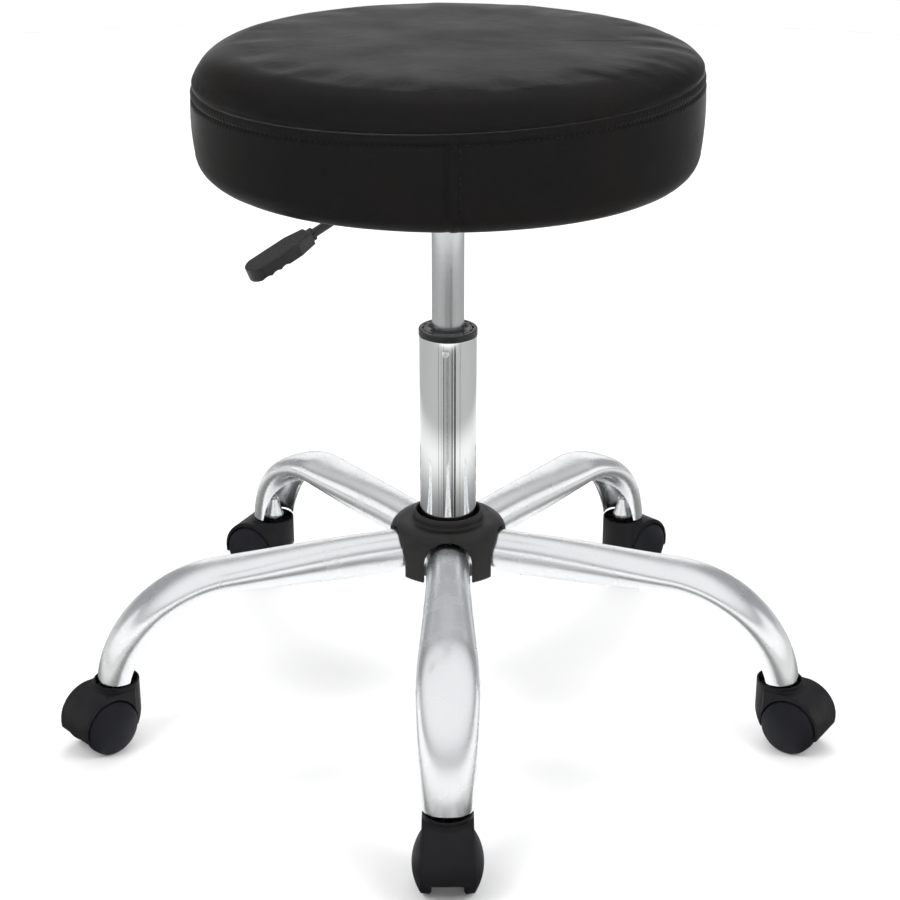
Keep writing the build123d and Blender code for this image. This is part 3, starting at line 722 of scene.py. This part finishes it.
# ---------------------------------------------------------------- column
def make_column(chrome, satin):
    low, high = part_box("column_tube")
    radius, bottom, top = high.x, low.z, high.z
    profile = [(0.0052, bottom), (radius - 0.0016, bottom), (radius, bottom + 0.0016), (radius, top)]
    profile += [(radius - 0.002, top), (radius - 0.002, bottom + 0.003), (0.0052, bottom + 0.003)]
    profile.append((0.0052, bottom))
    tube = lathe("chrome_tube", rounded(profile, 0.0005, 3), 160)
    sharpen(tube, 45)
    finish_piece(tube, "root", "column_tube", "chrome", chrome)

    low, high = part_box("gas_cylinder")
    radius, bottom, top = high.x, low.z, high.z
    profile = [(radius - 0.002, bottom), (radius, bottom), (radius, top), (0.00405, top)]
    profile += [(0.00405, top - 0.006), (radius - 0.002, top - 0.006), (radius - 0.002, bottom)]
    cylinder = lathe("satin_cylinder", rounded(profile, 0.0009, 3), 128)
    sharpen(cylinder, 45)
    finish_piece(cylinder, "seat", "gas_cylinder", "satin_steel", satin)


# ---------------------------------------------------------------- upholstery
def seam_height(x):
    return SEAT_SEAM_Z + SEAT_SEAM_TILT * x


def top_rest(angle, t, inset=0.0):
    """Radius and height on the top panel: t is 0 in the middle, 1 at the flat's edge, 2 at the seam."""
    seam_r = SEAT_SEAM_RADIUS - inset
    top = SEAT_TOP - inset
    if t <= 1:
        return SEAT_FLAT_RADIUS * t, top
    a = (t - 1) * TAU / 4
    radius = SEAT_FLAT_RADIUS + (seam_r - SEAT_FLAT_RADIUS) * math.sin(a)
    low = seam_height(seam_r * math.cos(angle))
    return radius, low + (top - low) * math.cos(a)


def side_rest(angle, t, inset=0.0):
    """Radius and height on the side: 0 at the seam, 1 where it turns under, 2 under, 3 at the hem."""
    seam_r = SEAT_SEAM_RADIUS - inset
    under = SEAT_UNDER_Z + inset
    if t <= 1:
        high = seam_height(seam_r * math.cos(angle))
        z = high + (SEAT_LOWER_Z - high) * t
        return seam_r + SEAT_BULGE * 4 * t * (1 - t), z
    if t <= 2:
        a = (t - 1) * TAU / 4
        radius = SEAT_UNDER_RADIUS + (seam_r - SEAT_UNDER_RADIUS) * math.cos(a)
        return radius, SEAT_LOWER_Z - (SEAT_LOWER_Z - under) * math.sin(a)
    return SEAT_UNDER_RADIUS + (SEAT_HEM_RADIUS - SEAT_UNDER_RADIUS) * (t - 2), under


def polar(angle, radius, z):
    return Vector((radius * math.cos(angle), radius * math.sin(angle), z))


def seat_form(name, inset, closing, segments=96):
    """Closed form of the whole cushion; closing holds the (radius, height) steps of its underside."""
    places = [("top", t) for t in np.linspace(0, 1, 14)[1:]]
    places += [("top", t) for t in np.linspace(1, 2, 10)[1:]]
    places += [("side", t) for t in np.linspace(0, 1, 10)[1:]]
    places += [("side", t) for t in np.linspace(1, 2, 8)[1:]]
    points, faces = [Vector((0, 0, SEAT_TOP - inset))], []
    for which, t in places:
        rest = top_rest if which == "top" else side_rest
        points += [polar(a, *rest(a, t, inset)) for a in np.linspace(0, TAU, segments, endpoint=False)]
    for radius, z in closing:
        points += [polar(a, radius, z) for a in np.linspace(0, TAU, segments, endpoint=False)]
    for i in range(segments):
        faces.append((0, 1 + i, 1 + (i + 1) % segments))
    for row in range(len(places) + len(closing) - 1):
        for i in range(segments):
            a, b = 1 + row * segments + i, 1 + row * segments + (i + 1) % segments
            faces.append((a, a + segments, b + segments, b))
    last = 1 + (len(places) + len(closing) - 1) * segments
    faces.append(tuple(last + i for i in range(segments)))
    return mesh_object(name, points, faces)


def simulate_cover():
    """Inflates the cover as cloth over its stuffing; returns where each point was and how it moved."""
    form = seat_form("seat_form", 0.003, [(SEAT_HEM_RADIUS, SEAT_UNDER_Z + 0.003)])
    add_modifier(form, "REMESH", mode="VOXEL", voxel_size=0.006)
    bake_modifiers(form)
    rest = np.array([v.co for v in form.data.vertices])
    radius = np.hypot(rest[:, 0], rest[:, 1])
    seam_z = SEAT_SEAM_Z + SEAT_SEAM_TILT * rest[:, 0]
    group = form.vertex_groups.new(name="held")
    under = rest[:, 2] < SEAT_UNDER_Z + 0.006
    near_seam = (np.abs(rest[:, 2] - seam_z) < 0.0042) & (radius > 0.195)
    for i in np.nonzero(under & (radius < 0.188))[0]:
        group.add([int(i)], 1.0, "REPLACE")
    for i in np.nonzero(near_seam)[0]:
        group.add([int(i)], 0.75, "REPLACE")
    cloth = form.modifiers.new("cloth", "CLOTH")
    cloth.settings.quality = 6
    cloth.settings.mass = 0.4
    cloth.settings.tension_stiffness = 25
    cloth.settings.compression_stiffness = 12
    cloth.settings.bending_stiffness = 1.2
    cloth.settings.use_pressure = True
    cloth.settings.uniform_pressure_force = 4.0
    cloth.settings.vertex_group_mass = "held"
    cloth.settings.shrink_min = -0.004
    cloth.settings.effector_weights.gravity = 0
    for step in range(1, 21):
        scene.frame_set(step)
    bake_modifiers(form)
    moved = np.array([v.co for v in form.data.vertices]) - rest
    scene.frame_set(1)
    bpy.data.objects.remove(form)
    return rest, moved


class Stuffing:
    """How the stuffed cover stands off its rest shape, from the simulation and the maker's hand."""

    def __init__(self):
        self.tree = None
        self.waves = [
            (random.uniform(2, 9), random.uniform(20, 70), random.uniform(0, TAU)) for _ in range(9)
        ]
        rest, moved = simulate_cover()
        self.moved = moved - np.median(moved, axis=0)
        self.tree = KDTree(len(rest))
        for i, p in enumerate(rest):
            self.tree.insert(Vector(p), i)
        self.tree.balance()

    def offset(self, point):
        """Part of the smoothed movement of the cloth near a point, capped at about a millimetre."""
        if self.tree is None:
            return Vector((0, 0, 0))
        total, weights = np.zeros(3), 0.0
        for _, index, distance in self.tree.find_n(point, 12):
            weight = 1 / (distance**2 + 0.00005)
            total += self.moved[index] * weight
            weights += weight
        move = Vector(total / weights) * 0.35
        if move.length > 0.0012:
            move *= 0.0012 / move.length
        return move

    def ripple(self, angle, z):
        """Slow unevenness of the stuffing under the side."""
        return sum(math.sin(k * angle + s * z + p) for k, s, p in self.waves) / len(self.waves)


def stitch_phase(angle):
    """0 to 1 along each stitch of the topstitched line."""
    count = round(TAU * SEAT_SEAM_RADIUS / STITCH_PITCH)
    return (angle / TAU * count) % 1.0


def crease(distance, width):
    """Smooth groove profile, 1 in the middle and 0 beyond the width."""
    t = min(abs(distance) / width, 1.0)
    return (1 - t * t) ** 2


def side_relief(angle, drop):
    """How far the side stands in or out at a distance below the seam, from seams and stitches."""
    arc = (angle - CLOSING_SEAM_ANGLE + math.pi) % TAU - math.pi
    across = arc * SEAT_SEAM_RADIUS
    pull = 0.5 - 0.5 * math.cos(TAU * stitch_phase(angle))
    swing = 0.7 + 0.3 * math.sin(angle * 31 + 2.1 * math.sin(angle * 13))
    out = -0.0013 * crease(drop - TOPSTITCH_DROP, 0.0021) * (1 - 0.45 * pull)
    out += 0.00055 * crease(drop - TOPSTITCH_DROP - 0.0032, 0.0032) * pull * swing
    out += 0.00095 * crease(drop - 0.0044, 0.0040) * (0.72 + 0.28 * pull)
    out -= 0.00035 * crease(drop - 0.0056, 0.0034) * (1 - pull) * swing
    if abs(across) < 0.02:
        below = min(max((drop - 0.002) / 0.004, 0), 1)
        out -= 0.0020 * crease(across, 0.0015) * below
        patch = crease(across - 0.0048, 0.0056) + 0.5 * crease(across - 0.0032, 0.0030)
        out += 0.00085 * patch * below
        out -= 0.0010 * crease(across - CLOSING_STITCH_OFFSET, 0.0016) * below
    return out


def top_relief(angle, rise):
    """The same for the top panel, at a distance above the seam."""
    phase = stitch_phase(angle)
    pull = 0.5 - 0.5 * math.cos(TAU * phase)
    return 0.00060 * crease(rise - 0.0036, 0.0036) * (0.6 + 0.4 * pull)


def panel(name, rings, segments, closed_middle):
    """Mesh from rings of points; each ring holds one point per segment."""
    points, faces = [], []
    if closed_middle:
        points.append(rings.pop(0)[0])
    first = len(points)
    for ring_points in rings:
        points += ring_points
    if closed_middle:
        faces += [(0, first + i, first + (i + 1) % segments) for i in range(segments)]
    for row in range(len(rings) - 1):
        for i in range(segments):
            a = first + row * segments + i
            b = first + row * segments + (i + 1) % segments
            faces.append((a, a + segments, b + segments, b))
    return mesh_object(name, points, faces)


def make_top_panel(stuffing, segments):
    rings = [[Vector((0, 0, SEAT_TOP)) + stuffing.offset(Vector((0, 0, SEAT_TOP)))]]
    steps = [*np.linspace(0.03, 1, 14), *np.linspace(1, 2, 30)[1:]]
    for t in steps:
        ring_points = []
        for i in range(segments):
            a = TAU * i / segments
            radius, z = top_rest(a, t)
            rise = max(0.0, z - seam_height(radius * math.cos(a)))
            base = polar(a, radius, z)
            fade = min(1.0, (2 - t) * 4) if t > 1 else 1.0
            lift = top_relief(a, rise) if t > 1.3 else 0.0
            base += stuffing.offset(base) * fade + polar(a, lift, 0)
            base.z += 0.0006 * stuffing.ripple(a, radius * 1.2) * min(1.0, radius / 0.1) * fade
            ring_points.append(base)
        rings.append(ring_points)
    for tuck, drop in ((0.0010, 0.0003), (0.0026, 0.0005), (0.0050, 0.0006)):
        ring_points = []
        for i in range(segments):
            a = TAU * i / segments
            radius, z = top_rest(a, 2)
            ring_points.append(polar(a, radius - tuck, z - drop + 0.0002))
        rings.append(ring_points)
    return panel("seat_top_panel", rings, segments, True)


def make_side_panel(stuffing, segments):
    rings = []
    for tuck, drop in ((0.0050, 0.0009), (0.0026, 0.0009), (0.0010, 0.0011)):
        ring_points = []
        for i in range(segments):
            a = TAU * i / segments
            radius, z = side_rest(a, 0)
            ring_points.append(polar(a, radius - tuck, z - drop))
        rings.append(ring_points)
    steps = [*np.linspace(0.02, 0.34, 24), *np.linspace(0.34, 1, 12)[1:]]
    steps += [*np.linspace(1, 2, 10)[1:], *np.linspace(2, 3, 4)[1:]]
    for t in steps:
        ring_points = []
        for i in range(segments):
            a = TAU * i / segments
            radius, z = side_rest(a, t)
            drop = seam_height(SEAT_SEAM_RADIUS * math.cos(a)) - z
            base = polar(a, radius, z)
            fade = min(1.0, t * 8) * (1.0 if t < 1.9 else max(0.0, (2.2 - t) / 0.3))
            relief = side_relief(a, drop) if t < 2 else 0.0
            relief += 0.0007 * stuffing.ripple(a, z) * fade
            base += stuffing.offset(base) * fade + polar(a, relief, 0)
            ring_points.append(base)
        rings.append(ring_points)
    return panel("seat_side_panel", rings, segments, False)


def capsule_ring(name, places, length, radius):
    """One mesh of many short thread stitches, each at (point, direction, outward)."""
    points, faces = [], []
    sides, rows = 6, (-0.5, -0.42, -0.2, 0.2, 0.42, 0.5)
    swell = (0.15, 0.7, 1.0, 1.0, 0.7, 0.15)
    for point, along, out in places:
        side = along.cross(out).normalized()
        first = len(points)
        for place, size in zip(rows, swell):
            sink = radius * 1.6 * (abs(place) * 2) ** 3
            for k in range(sides):
                b = TAU * k / sides
                spot = point + along * (place * length) - out * sink
                spot = spot + (side * math.cos(b) + out * math.sin(b)) * radius * size
                points.append(spot)
        for row in range(len(rows) - 1):
            for k in range(sides):
                a = first + row * sides + k
                b = first + row * sides + (k + 1) % sides
                faces.append((a, b, b + sides, a + sides))
        faces.append(tuple(first + k for k in reversed(range(sides))))
        top = first + (len(rows) - 1) * sides
        faces.append(tuple(top + k for k in range(sides)))
    return mesh_object(name, points, faces)


def make_stitches(side, thread):
    """Topstitched ring below the seam and the double line beside the closing seam."""
    bpy.context.view_layer.update()
    surface = BVHTree.FromObject(side, bpy.context.evaluated_depsgraph_get())
    places = []
    count = round(TAU * SEAT_SEAM_RADIUS / STITCH_PITCH)
    for k in range(count):
        a = TAU * (k + 0.5) / count
        z = seam_height(SEAT_SEAM_RADIUS * math.cos(a)) - TOPSTITCH_DROP
        out = Vector((math.cos(a), math.sin(a), 0))
        hit = surface.ray_cast(polar(a, 0.24, z), -out)[0]
        along = Vector((-math.sin(a), math.cos(a), -0.20 + SEAT_SEAM_TILT * math.sin(-a))).normalized()
        places.append((hit + out * 0.0002, along, out))
    ring_of_stitches = capsule_ring("topstitching", places, STITCH_PITCH * 0.80, 0.00045)
    finish_piece(ring_of_stitches, "seat", None, "black_vinyl", thread)
    places = []
    a = CLOSING_SEAM_ANGLE + CLOSING_STITCH_OFFSET / SEAT_SEAM_RADIUS
    out = Vector((math.cos(a), math.sin(a), 0))
    z = seam_height(0) - TOPSTITCH_DROP - 0.004
    while z > SEAT_LOWER_Z - 0.012:
        hit = surface.ray_cast(polar(a, 0.24, z), -out)[0]
        along = Vector((0.12, 0, 1)).normalized()
        places.append((hit + out * 0.0002, along, out))
        z -= STITCH_PITCH
    line = capsule_ring("closing_stitches", places, STITCH_PITCH * 0.78, 0.00045)
    finish_piece(line, "seat", None, "black_vinyl", thread)


def make_foam(foam):
    """Foam body just inside the cover, hollowed below for the board."""
    low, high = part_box("seat_board")
    edge = high.x + 0.0003
    roof = high.z + 0.0018
    closing = [(edge, SEAT_UNDER_Z + 0.0055), (edge, roof), (edge * 0.5, roof)]
    piece = seat_form("foam_body", 0.0055, closing, 160)
    sharpen(piece, 40)
    finish_piece(piece, "seat", "seat_foam", "foam", foam)


def make_upholstery(vinyl, thread, foam):
    random.seed(7)
    stuffing = Stuffing()
    segments = 822
    top = make_top_panel(stuffing, segments)
    side = make_side_panel(stuffing, segments)
    for piece in (top, side):
        add_modifier(piece, "SOLIDIFY", thickness=0.0009, offset=-1)
        bake_modifiers(piece)
        piece.data.shade_smooth()
    finish_piece(top, "seat", "seat_top_cover", "black_vinyl", vinyl)
    finish_piece(side, "seat", "seat_side_band", "black_vinyl", vinyl)
    make_stitches(side, thread)
    make_foam(foam)


# ---------------------------------------------------------------- materials for kept CAD nodes
def dress(material, *names):
    for name in names:
        node = nodes[name]
        node.data.materials.clear()
        node.data.materials.append(material)


def keep_cushion_out_of_chrome():
    """A soft box fills the space under the seat in the picture: the legs don't mirror the seat."""
    names = ["seat_top_panel", "seat_side_panel", "foam_body", "topstitching", "closing_stitches"]
    pieces = [bpy.data.objects[name] for name in names]
    pieces += [nodes[name] for name in ("seat_board", "dust_cover", "seat_plate", "staples")]
    for piece in pieces:
        piece.visible_glossy = False


def main():
    make_camera()
    make_world()
    make_stage()
    chrome = chrome_finish("chrome_plate", 0.27, 0.00001)
    tube_chrome = chrome_finish("chrome_tube_plate", 0.06, 0.00001)
    steel = zinc_finish()
    satin = satin_steel_finish()
    plastic = plastic_finish("moulded_plastic", HUB_BLACK, 0.46, 0.000012, 0.32)
    nylon = plastic_finish("wheel_nylon", WHEEL_BLACK, 0.52, 0.000010, 0.13)
    hood_plastic = plastic_finish("hood_plastic", HOOD_BLACK, 0.48, 0.000012, 0.14)
    gloss_plastic = plastic_finish("gloss_plastic", GLOSS_BLACK, 0.24, 0.000006, 0.5)
    paint = painted_finish()
    vinyl = vinyl_finish()
    thread = thread_finish()
    make_legs(chrome)
    make_stems(steel, chrome)
    make_hub_cover(plastic)
    make_hoods(hood_plastic)
    make_wheels(nylon)
    make_column(tube_chrome, satin)
    make_upholstery(vinyl, thread, foam_finish())
    axles = [f"caster_axle_{n}" for n in range(1, LEG_COUNT + 1)]
    dress(steel, "stem_grip_rings", "piston_rod", "piston", "thrust_bearing", "retaining_clip")
    dress(steel, "plate_screws", "tee_nuts", "lever_pin", "release_button", "staples", *axles)
    dress(chrome, "leg_sockets", "bushing_rivet")
    dress(gloss_plastic, "column_bushing", "lever_paddle")
    dress(plastic, "rod_guide")
    dress(paint, "seat_plate", "lever_rod", "hub_core")
    dress(rubber_finish(), "bump_stop")
    dress(plywood_finish(), "seat_board")
    dress(cloth_finish(), "dust_cover")
    keep_cushion_out_of_chrome()


main()
